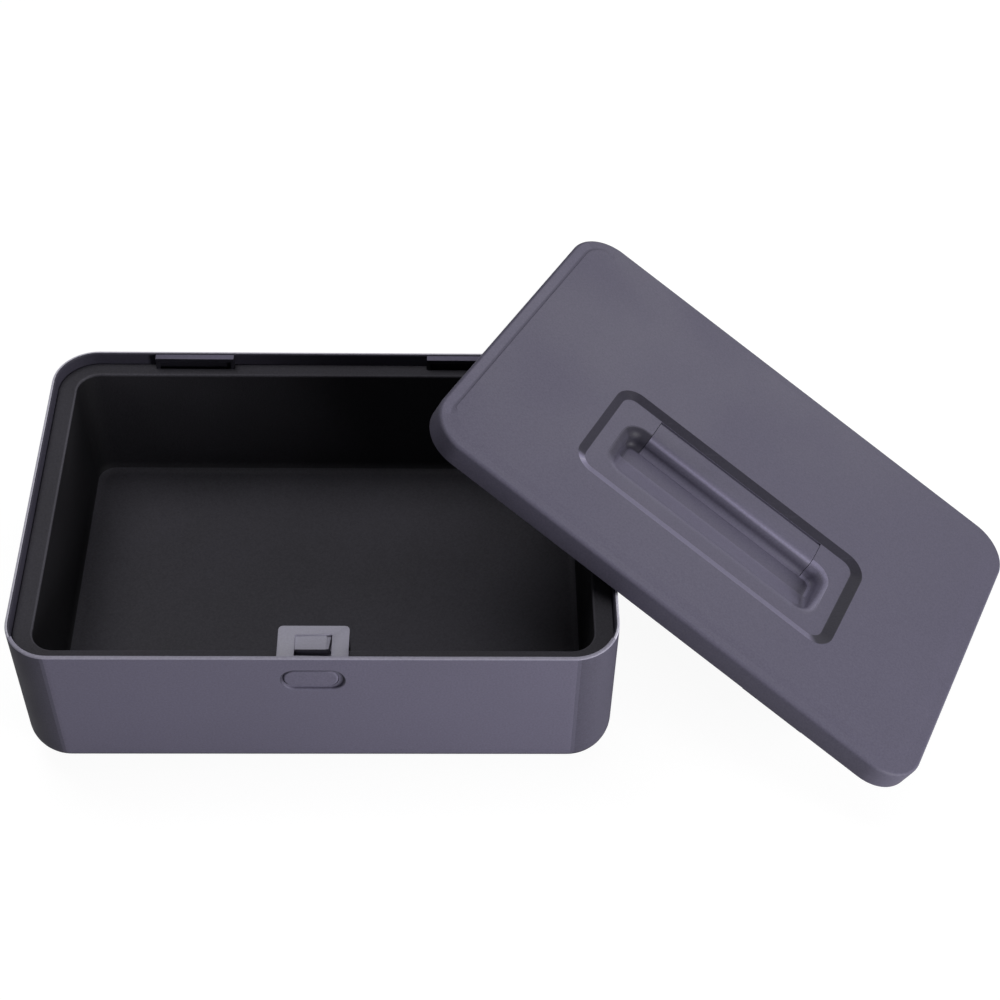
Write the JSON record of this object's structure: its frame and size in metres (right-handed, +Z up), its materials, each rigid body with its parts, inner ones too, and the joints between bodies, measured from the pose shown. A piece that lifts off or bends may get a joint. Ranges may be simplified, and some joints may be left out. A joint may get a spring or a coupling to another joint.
{
  "type": "tool box",
  "caption": "Open household tool box: rounded case with a dark lined tray and a push-button latch, and its flat lift-off lid with a flush hinged grip leaning on it.",
  "frame": {"origin": "centre of the case's flat underside, on the surface it stands on", "axes": "+Z up; +X along the case's length, towards the lid that leans beside it; -Y is the front with the push button"},
  "size_m": [0.5787, 0.341, 0.1712],
  "materials": {
    "case_plastic": "fine satin, purple grey",
    "plate_plastic": "satin, light purple grey",
    "liner_plastic": "matt, near black",
    "dark_plastic": "satin, dark grey",
    "screw_steel": "plain steel",
    "spring_steel": "bright spring wire"
  },
  "bodies": {
    "box": {"base_shell": "case_plastic", "liner": "liner_plastic", "hinge_keeper_left": "case_plastic", "hinge_keeper_right": "case_plastic", "latch_housing": "dark_plastic", "latch_plate": "plate_plastic", "latch_spring_left": "spring_steel", "latch_spring_right": "spring_steel", "latch_screw_left": "screw_steel", "latch_screw_right": "screw_steel", "keeper_screw_left_inner": "screw_steel", "keeper_screw_left_outer": "screw_steel", "keeper_screw_right_inner": "screw_steel", "keeper_screw_right_outer": "screw_steel"},
    "button": {"push_button": "case_plastic", "latch_slider": "dark_plastic"},
    "lid": {"lid_shell": "case_plastic", "lid_panel": "liner_plastic", "handle_pin": "screw_steel", "lid_tongue_left": "dark_plastic", "lid_tongue_right": "dark_plastic", "strike_hook": "dark_plastic", "tongue_screw_left_inner": "screw_steel", "tongue_screw_left_outer": "screw_steel", "tongue_screw_right_inner": "screw_steel", "tongue_screw_right_outer": "screw_steel", "hook_screw_left": "screw_steel", "hook_screw_right": "screw_steel", "panel_screw_front_left": "screw_steel", "panel_screw_front_right": "screw_steel", "panel_screw_rear_left": "screw_steel", "panel_screw_rear_right": "screw_steel"},
    "grip": {"handle_grip": "case_plastic"}
  },
  "joints": [
    {"name": "lid_lift", "type": "slide", "parent": "box", "child": "lid", "axis": [0, 0, 1], "range_m": [0, 0.15]},
    {"name": "grip_hinge", "type": "hinge", "parent": "lid", "child": "grip", "pos_m": [0.24093, 0.02282, 0.08653], "axis": [-0.7949, 0.4701, 0.3837], "range_deg": [0, 90]},
    {"name": "push_button_slide", "type": "slide", "parent": "box", "child": "button", "axis": [0, 1, 0], "range_m": [0, 0.0028], "stiffness_N_per_m": 1000, "springref_m": -0.003, "deforming": ["latch_spring_left", "latch_spring_right"]}
  ]
}
